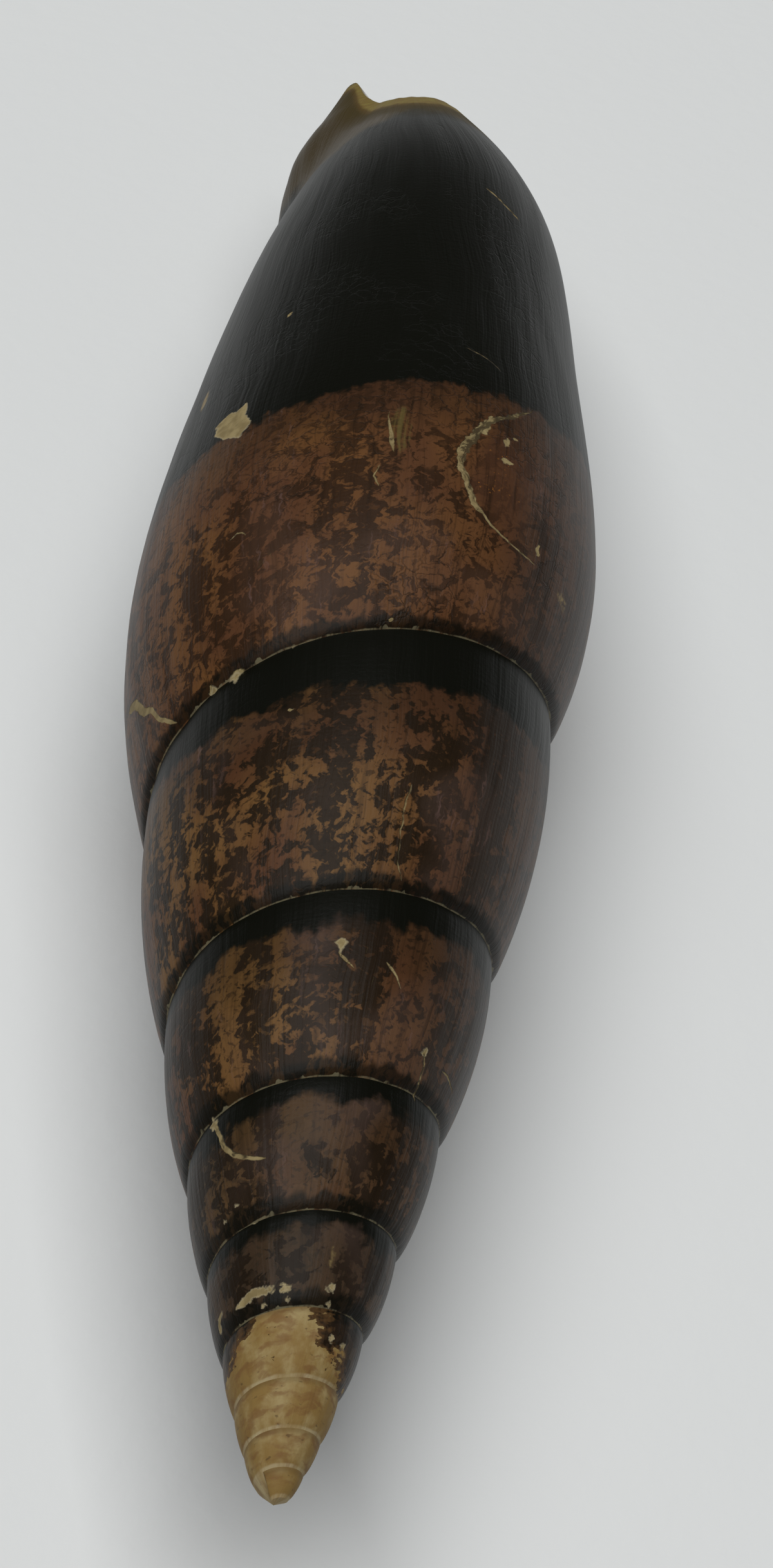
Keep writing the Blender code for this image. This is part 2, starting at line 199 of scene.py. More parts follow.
FLECKS = (  # turn and height of the middle, radii round the shell and along it
    ((-0.323, 45.45), (0.15, 0.26)), ((-0.3255, 44.9), (0.17, 0.40)), ((-0.328, 44.45), (0.15, 0.18)),
    ((-0.310, 44.53), (0.13, 0.28)), ((-0.303, 45.13), (0.11, 0.10)), ((-0.309, 43.36), (0.30, 0.10)),
    ((-0.272, 40.05), (0.11, 0.28)), ((-0.479, 52.4), (0.10, 0.11)), ((-0.378, 33.35), (0.10, 0.10)),
    ((-1.448, 28.6), (0.09, 0.08)), ((-0.499, 31.2), (0.36, 0.25)), ((-0.522, 31.0), (0.17, 0.16)),
)
SCARS = (  # origin, points, half-width at the start and at the end, how brown (less than 0: clean)
    ((-0.322, 43.0), ((1.6, 4.35), (0.95, 3.45), (0.1, 2.65), (-0.5, 1.65), (-0.95, 0.5)), 0.08, 0.18, 0.75),
    ((-0.322, 43.0), ((-1.02, 0.35), (-1.18, -0.1), (-1.3, -0.75)), 0.24, 0.22, 0.5),
    ((-0.322, 43.0), ((-1.3, -0.75), (-1.2, -1.4), (-0.9, -2.0), (-0.68, -2.6), (-0.33, -3.2)),
     0.16, 0.17, 0.2),
    ((-0.322, 43.0), ((-0.3, -3.05), (-0.1, -3.25), (0.4, -3.6), (1.1, -3.8), (2.0, -3.85), (2.7, -3.8)),
     0.06, 0.03, 0.0),
    ((-0.400, 40.0), ((0.08, 0.45), (-0.04, 0.25), (-0.1, 0.02), (0.02, -0.3), (0.18, -0.5)),
     0.035, 0.05, 0.0),
    ((-0.392, 42.5), ((-0.16, 1.4), (-0.1, 0.8), (0.05, -0.2), (0.12, -0.75)), 0.03, 0.10, 0.0),
    ((-0.492, 37.6), ((-0.25, 0.02), (-0.05, 0.15), (0.12, 0.12), (0.25, -0.08)), 0.045, 0.03, 0.0),
    ((-0.594, 32.3), ((-1.65, 1.65), (-0.9, 1.2), (-0.35, 0.25), (0.2, -0.1), (0.7, -1.0), (1.35, -1.5)),
     0.19, 0.09, -0.8),
    ((-2.382, 18.0), ((-0.2, 0.25), (0.05, 0.0), (0.22, -0.15)), 0.07, 0.03, 0.0),
    ((-2.330, 18.05), ((-0.28, 0.27), (0.05, -0.03), (0.25, -0.3)), 0.06, 0.03, 0.0),
    ((-2.266, 15.2), ((-0.2, 0.75), (0.02, 0.3), (0.0, -0.2), (0.2, -0.75)), 0.03, 0.05, 0.6),
    ((-2.217, 16.1), ((-0.5, 0.0), (0.0, 0.08), (0.5, 0.0)), 0.04, 0.03, 0.0),
    ((-3.511, 11.3), ((-0.82, 1.35), (-0.55, 0.75), (-0.42, 0.35), (0.0, -0.2), (0.55, -0.5), (1.05, -0.6)),
     0.09, 0.07, 0.0),
    ((-0.294, 64.9), ((-0.75, 0.45), (0.0, 0.0), (0.75, -0.5)), 0.08, 0.07, 0.3),
    ((-1.356, 23.5), ((0.4, 2.1), (0.28, 1.1), (0.34, 0.2), (0.4, -0.9), (0.66, -1.4)), 0.022, 0.022, 0.4),
    ((-0.300, 49.0), ((-2.3, 0.9), (-1.4, 0.75), (-0.9, 0.45)), 0.03, 0.02, 0.7),
)
STAINS = (  # turn and height of the middle, radii round and along, how orange, olive and tan
    ((-0.313, 43.6), (0.65, 0.7), (1.0, 0.0, 0.0)),
    ((-0.320, 41.3), (0.8, 0.8), (1.0, 0.0, 0.0)),
    ((-0.306, 42.2), (1.7, 3.0), (0.5, 0.0, 0.0)),
    ((-0.234, 39.3), (0.8, 0.5), (0.4, 0.0, 0.6)),
    ((-0.556, 49.3), (0.16, 0.9), (0.0, 0.3, 0.9)),
    ((-0.470, 36.0), (2.2, 1.4), (0.0, 0.35, 0.0)),
    ((-4.338, 7.6), (0.20, 1.0), (0.0, 0.1, 0.47)),
)


def nearest_on(outline, x, y, closed):
    """For points (x, y): distance to the nearest segment, the same with a sign, positive on the
    segment's left, and how far along the whole outline, as a share that runs past its ends. Past the
    ends the signed one is the offset from the end segment's line."""
    corners = np.array(outline, float)
    starts = corners if closed else corners[:-1]
    steps = (np.roll(corners, -1, axis=0) if closed else corners[1:]) - starts
    lengths = np.hypot(steps[:, 0], steps[:, 1])
    away = np.stack([x, y], axis=-1)[:, None] - starts
    run = (away * steps).sum(axis=2) / lengths**2
    held = np.clip(run, 0.0, 1.0)
    gap = away - held[..., None] * steps
    distance = np.hypot(gap[..., 0], gap[..., 1])
    offset = (steps[:, 0] * away[..., 1] - steps[:, 1] * away[..., 0]) / lengths
    best = distance.argmin(axis=1)
    here = np.arange(len(best))
    if not closed:
        first, last = np.arange(len(starts)) == 0, np.arange(len(starts)) == len(starts) - 1
        held = np.where(first & (run < 0) | last & (run > 1), run, held)
    passed = np.concatenate([[0.0], np.cumsum(lengths)])
    along = (passed[best] + held[here, best] * lengths[best]) / passed[-1]
    distance, offset, run = distance[here, best], offset[here, best], run[here, best]
    beside = (run > 0) & (run < 1) | (along < 0) | (along > 1)
    return distance, np.where(beside, offset, np.where(offset < 0, -distance, distance)), along


def local_axes(turn, height, origin):
    """Distances in mm from an origin, round the shell and along its axis."""
    around = (turn - origin[0] + 0.5) % 1.0 - 0.5
    radius = float(wall_radius(origin[0], origin[1] * MM)) / MM
    return around * 2 * math.pi * radius, height / MM - origin[1]


def chip_field(turn, height):
    """Signed distance in mm to the nearest chip's outline, negative inside, at most 1."""
    field = np.ones(turn.shape)
    for origin, outline in CHIPS:
        x, y = local_axes(turn, height, origin)
        close = np.flatnonzero(np.hypot(x, y) < 3.5)
        x, y = x[close], y[close]
        distance, _, _ = nearest_on(outline, x, y, True)
        corners = np.array(outline, float)
        after = np.roll(corners, -1, axis=0)
        spans = (corners[:, 1] > y[:, None]) != (after[:, 1] > y[:, None])
        slope = (after[:, 0] - corners[:, 0]) / (after[:, 1] - corners[:, 1] + 1e-9)
        crossings = spans & (x[:, None] < corners[:, 0] + slope * (y[:, None] - corners[:, 1]))
        inside = crossings.sum(axis=1) % 2 == 1
        field[close] = np.minimum(field[close], np.where(inside, -distance, distance))
    return field


def scar_field(turn, height):
    """Signed offset, distance and half-width in mm for the nearest scar, the share of its length and
    how brown it is; past its ends the width is 0."""
    offset = np.full(turn.shape, UNMARKED_MM)
    nearest = np.full(turn.shape, UNMARKED_MM)
    width, share_along, browned = np.zeros((3, *turn.shape))
    for origin, line, start_width, end_width, brown in SCARS:
        x, y = local_axes(turn, height, origin)
        close = np.flatnonzero(np.hypot(x, y) < 6.5)
        distance, signed, along = nearest_on(line, x[close], y[close], False)
        share = smooth(0.2, 0.9, along)
        whole = start_width + (end_width - start_width) * share
        closer = distance - whole < nearest[close] - width[close]
        index = close[closer]
        nearest[index] = distance[closer]
        offset[index] = signed[closer]
        width[index] = whole[closer] * smooth(-0.06, 0.0, along[closer]) * smooth(1.06, 1.0, along[closer])
        share_along[index] = along[closer]
        browned[index] = brown
    return offset, nearest, width, share_along, browned


def stain_fields(turn, height):
    """How orange, how olive and how tan the skin is stained: bell curves round each stain's middle."""
    fields = np.zeros((3, *turn.shape))
    for origin, radii, shares in STAINS:
        x, y = local_axes(turn, height, origin)
        bell = np.exp(-((x / radii[0]) ** 2) - (y / radii[1]) ** 2)
        fields = np.maximum(fields, np.array(shares)[:, None] * bell)
    return fields


def black_zone(turn, height):
    """How far in mm a place lies in front of the black zone's edge, and how far back toward the seam,
    as a share. The edge runs at three quarters of each whorl's height, lower toward the lip, and
    bulges forward once in a turn."""
    back, front = suture_height(turn), suture_height(turn + 1)
    share = (height - back) / (front - back)
    body = smooth(-0.75, -0.45, turn)
    edge = 0.740 + 0.05 * smooth(-1.6, -2.4, turn) - 0.090 * body - 0.025 * smooth(-0.38, -0.30, turn)
    bulge = np.exp(-((((turn + 0.12) % 1.0 - 0.5) / 0.085) ** 2))
    edge = edge + 0.11 * bulge * smooth(-3.0, -1.7, turn)
    return (share - edge) * (front - back) / MM, 1 - share / edge


def canal_zone(turn, height):
    """How far in mm a place lies in front of the line where the black gives way to canal brown."""
    line = 69.6 + 3.3 * smooth(-0.53, -0.43, turn) + 2.4 * smooth(-0.44, -0.37, turn)
    line = line + 1.6 * smooth(-0.54, -0.62, turn) - 2.4 * smooth(-0.34, -0.10, turn)
    return height / MM - line


def wear_field(turn, height):
    """0 where the skin is whole and 1 where it is worn off: the apex, and a patch on the next whorl's
    back whose right edge runs out toward the seam and whose left one holds only its front part, with
    a thinned border round it."""
    above = (height - suture_height(turn)) / MM
    bare = smooth(-5.60, -5.84, turn)
    back = np.clip(2.05 - above, 0.0, None)
    right = -5.372 + 0.022 * back + 0.030 * back**2
    left = -5.485 - 0.085 * smooth(1.9, 1.2, above)
    low = smooth(1.1, 0.7, above)
    patch = np.maximum(smooth(left - 0.035, left + 0.035, turn), low)
    patch = patch * smooth(right + 0.045, right - 0.045, turn)
    border = np.maximum(smooth(left - 0.08, left - 0.02, turn), low)
    border = border * smooth(right + 0.13, right + 0.03, turn)
    return np.maximum(bare, 0.26 * border + 0.74 * patch)


# ------------------------------------------------------------------------------------------------
# The shell
# Calcium carbonate under a thin horny skin, grown in one piece: the spire's band closed on itself
# along the seam, the body whorl, the lip's rounded edge, the wall and the columella inside, and the
# rim of the siphonal notch. The skin is outside and bare shell inside, with no gap between them; the
# whorls touch along the seam, where each has points of its own.
COLUMNS = 144
SPIRE_ROWS = np.linspace(0.0, 1.0, 33) ** 1.6
BODY_ROWS = np.linspace(0.0, 1.0, 112)
EDGE_TURNS = 0.005
EDGE_RUN = 4.8 * MM
FAR_MM = 50.0
OPEN_COLUMNS = 76
DEEP_STATIONS = 40
FOLD_HEIGHTS = np.array([49.4, 52.0, 54.5, 56.8, 58.9]) * MM
FOLD_DEPTHS = np.array([0.64, 0.62, 0.54, 0.44, 0.32]) * MM
FOLD_WIDTH = 0.60 * MM
LEAST_ROOM = 0.08 * MM
TOP_CLOSES = -0.53
TIP_TURN, TIP_HEIGHT = -0.6, 80.0 * MM
CALLUS_RADIUS_MM = 8.0

parts = {"points": [], "turn": [], "height": [], "covered": [], "depth": []}
faces = []
inner_faces = []


def add(turn, height, points, covered=FAR_MM, depth=-1.0):
    """Add an array of points with their place on the band and return the array of their numbers.
    covered is the distance in mm to the next whorl's edge, depth how far in mm inside the lip."""
    first = sum(len(block) for block in parts["turn"])
    shape = points.shape[:-1]
    parts["points"].append(points.reshape(-1, 3))
    for name, value in (("turn", turn), ("height", height), ("covered", covered), ("depth", depth)):
        parts[name].append(np.broadcast_to(value, shape).reshape(-1))
    return np.arange(first, first + np.prod(shape)).reshape(shape)


def fill(numbers, inner=False, flip=False):
    """Quads over a grid of point numbers; a quad that has lost a side becomes a triangle."""
    quads = np.stack([numbers[:-1, :-1], numbers[1:, :-1], numbers[1:, 1:], numbers[:-1, 1:]], -1)
    quads = quads.reshape(-1, 4)[:, ::-1] if flip else quads.reshape(-1, 4)
    whole = (quads != np.roll(quads, -1, axis=1)).all(axis=1)
    made = quads[whole].tolist()
    made += [list(dict.fromkeys(quad)) for quad in quads[~whole].tolist()]
    made = [face for face in made if len(face) > 2]
    faces.extend(made)
    inner_faces.extend([inner] * len(made))


def outer_radius(turn, height):
    """The wall's outside with its step and relief."""
    return wall_radius(turn, height, SEAM_STEP) + relief(turn, height)


# Columns stand at the same places in every turn, closer together at the lip's rounded edge.
edge_angles = np.linspace(0.0, math.pi / 2, 6)
edge_turns = -EDGE_TURNS * (1 - np.sin(edge_angles))
body_turns = np.concatenate([-1.0 + np.arange(COLUMNS) / COLUMNS, edge_turns])
whorl_columns = len(body_turns) - 1
spire_turns = (np.arange(-8, 0)[:, None] + body_turns[:-1]).reshape(-1)
spire_turns = np.append(spire_turns[spire_turns >= FIRST_TURN - 1e-9], -1.0)
backs, nexts = suture_height(spire_turns), suture_height(spire_turns + 1)
heights = backs[:, None] + (nexts - backs)[:, None] * SPIRE_ROWS
radii = outer_radius(spire_turns[:, None], heights)
radii[:, -1] = outer_radius(spire_turns + 1, nexts)
radii[0, 0] = 0.0
spire = add(spire_turns[:, None], heights, place(spire_turns[:, None], heights, radii),
            covered=(nexts[:, None] - heights) / MM)
fill(spire)

# The nucleus: the first turn's back edge is joined to the point where the spire starts.
cap_turns = spire_turns[2:whorl_columns]
centre = np.array([0.0, heights[0, 0], 0.0])
cap_edge = place(cap_turns, backs[2:whorl_columns], radii[2:whorl_columns, 0])
cap_shares = np.linspace(0.0, 1.0, len(SPIRE_ROWS))[1:, None]
cap_points = centre + (cap_edge[:, None] - centre) * cap_shares
cap = np.full((whorl_columns, len(SPIRE_ROWS)), spire[0, 0])
cap[0, -1] = spire[1, 0]
cap[1:-1, 1:] = add(cap_turns[:, None], cap_points[..., 1], cap_points)
cap[-1] = spire[0]
fill(cap)

# The body whorl, from the seam to the front rim and round into the lip's edge.
backs = suture_height(body_turns)
gap = suture_height(0.0) - suture_height(-1.0)
fronts = backs + gap * (1.25 + 0.25 * body_turns)
low_rows = backs[:, None] + (fronts - backs)[:, None] * SPIRE_ROWS
high_rows = fronts[:, None] + (front_rim(body_turns) - fronts)[:, None] * BODY_ROWS[1:]
heights = np.concatenate([low_rows, high_rows], axis=1)
leaned = lean(body_turns[:, None], heights)
edge = LIP_THICKNESS * smooth(0.0, EDGE_RUN, heights - backs[:, None])
rounding = np.concatenate([np.zeros(COLUMNS), 0.5 * (1 - np.cos(edge_angles))])
radii = outer_radius(leaned, heights) - edge * rounding[:, None]
body = add(leaned, heights, place(leaned, heights, radii))
fill(body)
lip_rows = (heights[-1] - heights[-1, 0]) / (heights[-1, -1] - heights[-1, 0])


def hollow_section(turn):
    """Heights, wall and columella radii across the hollow at one turn, and where it starts and ends.
    The wall thickens from the lip inward and runs out to nothing at the seam."""
    back = suture_height(turn)
    across = np.linspace(back, 1.035 * BODY_LENGTH, 1601)
    thickness = LIP_THICKNESS + (WALL_THICKNESS - LIP_THICKNESS) * smooth(0.0, 0.16, -turn)
    thickness *= suture_radius(turn) / suture_radius(0.0)
    run_out = 0.16 * MM + EDGE_RUN * (1 - smooth(0.0, 0.10, -turn))
    wall = wall_radius(turn, across) - thickness * smooth(0.0, run_out, across - back)
    room = wall - wall_radius(turn - 1, across)
    widest = int(np.argmax(room))
    closed = np.flatnonzero(room[:widest] <= 0)
    corner = across[closed[-1]] if len(closed) and turn < 0 else back
    top = front_rim(turn)
    if turn < TOP_CLOSES:
        narrow = np.flatnonzero(room[widest:] <= 0.12 * MM)
        closing = across[widest + narrow[0]] if len(narrow) else top
        top = min(closing, (0.965 + 0.10 * (turn - TOP_CLOSES)) * BODY_LENGTH)
    return across, wall, corner, top


def columella_radius(turn, height):
    """The earlier whorl and the columella, with its folds wound back along the growth of the shell:
    each fold is a bell curve that fades in behind the lip and out at the hollow's end."""
    shrink = suture_height(turn) / suture_height(0.0)
    depth = smooth(0.0, 0.05, -turn) * suture_radius(turn) / suture_radius(0.0)
    depth = depth * (1 - smooth(0.75, 0.95, -turn / HOLLOW_TURNS))
    places = (height[:, None] - FOLD_HEIGHTS * shrink) / (FOLD_WIDTH * shrink)
    return wall_radius(turn - 1, height) + depth * (FOLD_DEPTHS * np.exp(-(places**2))).sum(axis=1)


# The hollow: the wall and the columella stand at the same stations and meet at its corner, and at
# its deep end both close on the same points.
stations = np.concatenate([
    -edge_turns[::-1],
    np.arange(1, OPEN_COLUMNS + 1) / COLUMNS,
    np.linspace(OPEN_COLUMNS / COLUMNS, HOLLOW_TURNS, DEEP_STATIONS + 1)[1:],
])
open_count = len(edge_turns) + OPEN_COLUMNS
last_row = len(BODY_ROWS) - 1
even_rows = np.round(np.linspace(0, last_row, len(lip_rows))).astype(int)
wall_places, columella_places = [], []
for number, turn in enumerate(-stations):
    across, wall, corner, top = hollow_section(turn)
    evened = smooth(OPEN_COLUMNS / COLUMNS, HOLLOW_TURNS, -turn)
    at = corner + (top - corner) * (lip_rows + (even_rows / last_row - lip_rows) * evened)
    along = lean(turn, at)
    base = wall_radius(turn - 1, at)
    room = np.maximum(np.interp(at, across, wall) - base, LEAST_ROOM)
    radius = base + room * (1 - smooth(0.80, 1.0, -turn / HOLLOW_TURNS))
    lip_edge = LIP_THICKNESS * smooth(0.0, EDGE_RUN, at - corner)
    rounded = 1 - rounding[COLUMNS:][::-1][min(number, len(edge_turns) - 1)]
    near_lip = outer_radius(along, at) - lip_edge * rounded
    radius = near_lip + (radius - near_lip) * smooth(EDGE_TURNS, 0.03, -turn)
    meeting = columella_radius(turn, at[[0, -1]])
    if number:
        radius[0] = meeting[0]
    if number >= open_count:
        radius[-1] = meeting[1]
    wall_places.append((along, at, radius))
    tip = front_rim(-1.0) + 1.0 * MM * smooth(0.0, 0.5, -turn) if number < open_count else top
    at = corner + (tip - corner) * BODY_ROWS
    columella_places.append((np.full(len(at), turn), at, columella_radius(turn, at)))

wall_turns, wall_heights, wall_radii = (np.array(values) for values in zip(*wall_places))
depth = -wall_turns * 2 * math.pi * wall_radii / MM
inside = np.empty(wall_turns.shape, int)
inside[0] = body[-1]
wall_points = place(wall_turns, wall_heights, wall_radii)
inside[1:-1] = add(wall_turns[1:-1], wall_heights[1:-1], wall_points[1:-1], depth=depth[1:-1])

turns, heights, radii = (np.array(values) for values in zip(*columella_places))
depth = -turns * 2 * math.pi * radii / MM
radii[0] = outer_radius(-1.0, heights[0])
columella = add(turns, heights, place(turns, heights, radii), depth=depth)
fill(columella, inner=True, flip=True)
inside[-1] = columella[-1, even_rows]
fill(inside, inner=True)
# Where the lip leaves the seam, one face closes the step's end.
seam = len(SPIRE_ROWS) - 1
fill(np.array([[body[-1, 0], inside[1, 0]], body[0, seam - 1 : seam + 1]]))

# The rim of the notch: the cut edge of the wall, rounded, from the lip's corner to the columella.
points = np.concatenate(parts["points"])
outer_row = body[body_turns >= -stations[open_count - 1] - 1e-9, -1]
inner_row = inside[:open_count, -1][::-1]
inner_row = np.concatenate([inner_row[: len(outer_row) - 1], inner_row[-1:]])
share = np.linspace(0.0, 1.0, 6)[1:-1]
across = points[outer_row][:, None] + (points[inner_row] - points[outer_row])[:, None] * share[:, None]
width = np.linalg.norm(points[inner_row] - points[outer_row], axis=1)
across[..., 1] += np.minimum(0.35 * width, 0.2 * MM)[:, None] * np.sin(math.pi * share)
rim = np.empty((len(outer_row), 6), int)
rim_turns = np.concatenate(parts["turn"])[outer_row]
rim[:, 0], rim[:, -1] = outer_row, inner_row
rim[:, 1:-1] = add(rim_turns[:, None], front_rim(rim_turns)[:, None], across)
fill(rim)

# The columella's tip: rings that close in on a raised middle.
last_open = open_count - 1
tip_loop = np.concatenate([
    rim[0, :1],
    body[: COLUMNS - OPEN_COLUMNS, -1][::-1],
    columella[1 : last_open + 1, -1],
    inside[[open_count, last_open], -1],
    rim[0, -2:0:-1],
])
points = np.concatenate(parts["points"])
middle = points[tip_loop].mean(axis=0) + np.array([0.0, 0.3 * MM, 0.0])
closing = np.linspace(0.0, 1.0, 8)[1:, None, None]
rings = points[tip_loop] + (middle - points[tip_loop]) * closing
rings[..., 1] += 0.25 * MM * np.sin(math.pi * closing[..., 0])
ring_numbers = np.concatenate([tip_loop[None], add(TIP_TURN, TIP_HEIGHT, rings, depth=1.0)])
fill(np.concatenate([ring_numbers, ring_numbers[:, :1]], axis=1), inner=True)


def at_rest(points):
    """Roll about the axis and tip, so that the lip and the belly touch down, rub them flat there, and
    stand the result in the middle of the solid's box."""
    cos_roll, sin_roll = math.cos(REST_ROLL), math.sin(REST_ROLL)
    cos_pitch, sin_pitch = math.cos(REST_PITCH), math.sin(REST_PITCH)
    tip_over = np.array([[1, 0, 0], [0, cos_pitch, -sin_pitch], [0, sin_pitch, cos_pitch]])
    turn_over = np.array([[cos_roll, 0, sin_roll], [0, 1, 0], [-sin_roll, 0, cos_roll]])
    turned = points @ (turn_over @ tip_over).T
    turned[:, 2] = np.maximum(turned[:, 2], turned[:, 2].min() + REST_WEAR)
    low, high = turned.min(axis=0), turned.max(axis=0)
    box_low, box_high = (np.array(corner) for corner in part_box("shell"))
    shift = (box_low + box_high - low - high) / 2
    shift[2] = box_low[2] - low[2]
    return turned + shift


points = np.concatenate(parts["points"])
turn, height = np.concatenate(parts["turn"]), np.concatenate(parts["height"])
covered, depth = np.concatenate(parts["covered"]), np.concatenate(parts["depth"])
mesh = bpy.data.meshes.new("shell_surface")
mesh.from_pydata(at_rest(points), [], faces)
mesh.polygons.foreach_set("material_index", np.array(inner_faces, dtype=np.int32))
mesh.shade_smooth()
above = (height - suture_height(turn)) / MM
on_body = turn > -1.001
to_rim = np.where(on_body, (front_rim(turn) - height) / MM, FAR_MM)
to_callus = (turn + 1.0) * 2 * math.pi * CALLUS_RADIUS_MM
to_callus = np.where((height > suture_height(0.0)) & (to_callus >= 0), to_callus, FAR_MM)
offset, nearest, width, along, brown = scar_field(turn, height)
past_black, backward = black_zone(turn, height)

# What the finishes read at each point, in mm where it is a distance.
surface_values = {
    "growth": (np.interp(turn, ARC_TURNS, ARC_LENGTHS), above, np.zeros_like(turn)),
    "edges": (above, covered, to_rim),
    "zones": (past_black, wear_field(turn, height), canal_zone(turn, height)),
    "flaws": (chip_field(turn, height), offset, nearest),
    "spans": (width, depth, to_callus),
    "places": (backward, turn, np.zeros_like(turn)),
    "healed": (along, brown, np.zeros_like(turn)),
    "stains": stain_fields(turn, height),
}
for name, values in surface_values.items():
    layer = mesh.attributes.new(name, "FLOAT_VECTOR", "POINT")
    layer.data.foreach_set("vector", np.stack(values, axis=-1).astype(np.float32).reshape(-1))
shell = bpy.data.objects.new("shell_surface", mesh)
bpy.context.scene.collection.objects.link(shell)
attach(shell, "root")
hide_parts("shell")


# The finishes. Their nodes are wired by these few helpers, which take sockets or plain numbers.
class Wiring:
    """Adds nodes to one tree and joins them."""

    def __init__(self, tree):
        """The tree is a material's, the world's or a group's."""
        self.tree = tree

    def feed(self, socket, value):
        """Link a socket, or set a plain number, vector or colour."""
        if isinstance(value, bpy.types.NodeSocket):
            self.tree.links.new(value, socket)
        else:
            socket.default_value = value

    def node(self, kind, settings=(), **inputs):
        """A node of a kind, with settings by name and inputs by name, spaces written as _."""
        made = self.tree.nodes.new(kind)
        for name, value in dict(settings).items():
            setattr(made, name, value)
        for name, value in inputs.items():
            self.feed(made.inputs[name.replace("_", " ")], value)
        return made

    def math(self, operation, *values):
        """One of the plain sums, such as SINE or MAXIMUM, of one or two values."""
        made = self.node("ShaderNodeMath", {"operation": operation})
        for socket, value in zip(made.inputs, values):
            self.feed(socket, value)
        return made.outputs[0]

    def add(self, a, b):
        """a + b."""
        return self.math("ADD", a, b)

    def times(self, a, b):
        """a times b."""
        return self.math("MULTIPLY", a, b)

    def vector(self, operation, a, b):
        """The same for vectors."""
        made = self.node("ShaderNodeVectorMath", {"operation": operation})
        self.feed(made.inputs[0], a)
        self.feed(made.inputs[1], b)
        return made.outputs[0]

    def step(self, value, start, end):
        """0 at start and 1 at end, eased; start may be the larger."""
        made = self.node("ShaderNodeMapRange", {"interpolation_type": "SMOOTHSTEP"}, Value=value)
        for name, number in (("From Min", start), ("From Max", end)):
            self.feed(made.inputs[name], number)
        return made.outputs[0]

    def noise(self, vector, stretch, detail=2.0, rough=0.5):
        """Noise over a stretched vector, between 0 and 1 around 0.5."""
        scaled = self.vector("MULTIPLY", vector, stretch)
        made = self.node("ShaderNodeTexNoise", {}, Vector=scaled, Scale=1.0, Detail=detail, Roughness=rough)
        return made.outputs["Fac"]

    def spots(self, vector, stretch, start, end, detail=2.0, rough=0.5):
        """Spots of noise: 0 where it is start and 1 where it is end."""
        return self.step(self.noise(vector, stretch, detail, rough), start, end)

    def swing(self, vector, stretch, size, detail=2.0):
        """Noise around 0, of a given size."""
        return self.times(self.add(self.noise(vector, stretch, detail), -0.5), size)

    def away(self, vector, middle, radii):
        """Distance from a middle, counted in radii."""
        made = self.node("ShaderNodeVectorMath", {"operation": "DISTANCE"})
        self.feed(made.inputs[0], self.vector("DIVIDE", vector, (*radii, 1.0)))
        self.feed(made.inputs[1], (middle[0] / radii[0], middle[1] / radii[1], 0.0))
        return made.outputs["Value"]

    def mix(self, share, a, b):
        """Colour a where the share is 0 and b where it is 1."""
        made = self.node("ShaderNodeMix", {"data_type": "RGBA"})
        for socket, value in zip((made.inputs["Factor"], made.inputs[6], made.inputs[7]), (share, a, b)):
            self.feed(socket, (*value, 1.0) if isinstance(value, tuple) else value)
        return made.outputs[2]

    def shift(self, vector, x, y):
        """The vector moved by x and y."""
        return self.vector("ADD", vector, self.node("ShaderNodeCombineXYZ", {}, X=x, Y=y).outputs[0])

    def tint(self, colour, new, mask, share=1.0):
        """The colour with a new one over it where the mask is 1, as thick as the share."""
        return self.mix(mask if share == 1.0 else self.times(mask, share), colour, new)

    def whole(self, name):
        """One of the surface's values, as a vector."""
        return self.node("ShaderNodeAttribute", {"attribute_name": name}).outputs["Vector"]

    def split(self, name):
        """The three parts of one of the surface's values."""
        return self.node("ShaderNodeSeparateXYZ", {}, Vector=self.whole(name)).outputs


# Growth lines, used by both finishes: coarse and fine streaks along the lip's direction, and threads
# round the shell.
lines = bpy.data.node_groups.new("growth_lines", "ShaderNodeTree")
lines.interface.new_socket("Growth", in_out="INPUT", socket_type="NodeSocketVector")
lines.interface.new_socket("Height", in_out="OUTPUT", socket_type="NodeSocketFloat")
lines.interface.new_socket("Streaks", in_out="OUTPUT", socket_type="NodeSocketFloat")
wires = Wiring(lines)
entry = wires.node("NodeGroupInput").outputs["Growth"]
exit_node = wires.node("NodeGroupOutput")
entry = wires.shift(entry, wires.swing(entry, (0.10, 0.16, 0.0), 1.2), 0.0)
coarse = wires.noise(entry, (2.4, 0.10, 0.0), 3.0)
fine = wires.noise(entry, (9.0, 0.22, 0.0), 3.0)
thread = wires.noise(entry, (0.35, 5.0, 0.0), 2.0)
finer = wires.add(wires.times(fine, 0.35), wires.times(thread, 0.10))
wires.feed(exit_node.inputs["Height"], wires.add(wires.times(coarse, 0.6), finer))
wires.feed(exit_node.inputs["Streaks"], wires.add(wires.times(coarse, 0.5), wires.times(fine, 0.5)))

# The skin: orange-brown, blotched dark brown, with the black zone, over a cream layer that shows in
# chips, scars and at the worn apex.
ORANGE = (0.130, 0.057, 0.0180)
OCHRE = (0.150, 0.076, 0.0240)
RED_BROWN = (0.086, 0.036, 0.0155)
BODY_BLOTCH = (0.0270, 0.0125, 0.0052)
SPIRE_BLOTCH = (0.0140, 0.0085, 0.0040)
DARK_BROWN = (0.0120, 0.0070, 0.0035)
BLACK = (0.0034, 0.0036, 0.0019)
CANAL = (0.053, 0.035, 0.011)
AGED = (0.054, 0.041, 0.025)
COLLAR = (0.052, 0.037, 0.010)
RIM_YELLOW = (0.190, 0.148, 0.040)
CREAM = (0.300, 0.235, 0.112)
BUFF = (0.205, 0.155, 0.070)
WORN_TAN = (0.222, 0.140, 0.044)
WORN_PALE = (0.325, 0.248, 0.112)
CALM_BROWN = (0.068, 0.029, 0.014)
FLANK_SHEEN_GREY = (0.048, 0.038, 0.032)
BODY_HIGHLIGHT = (0.165, 0.094, 0.066)
SPIRE_HIGHLIGHT = (0.100, 0.066, 0.054)
SHEEN_STREAK_PALE = (0.150, 0.088, 0.075)
RUST = (0.240, 0.092, 0.018)
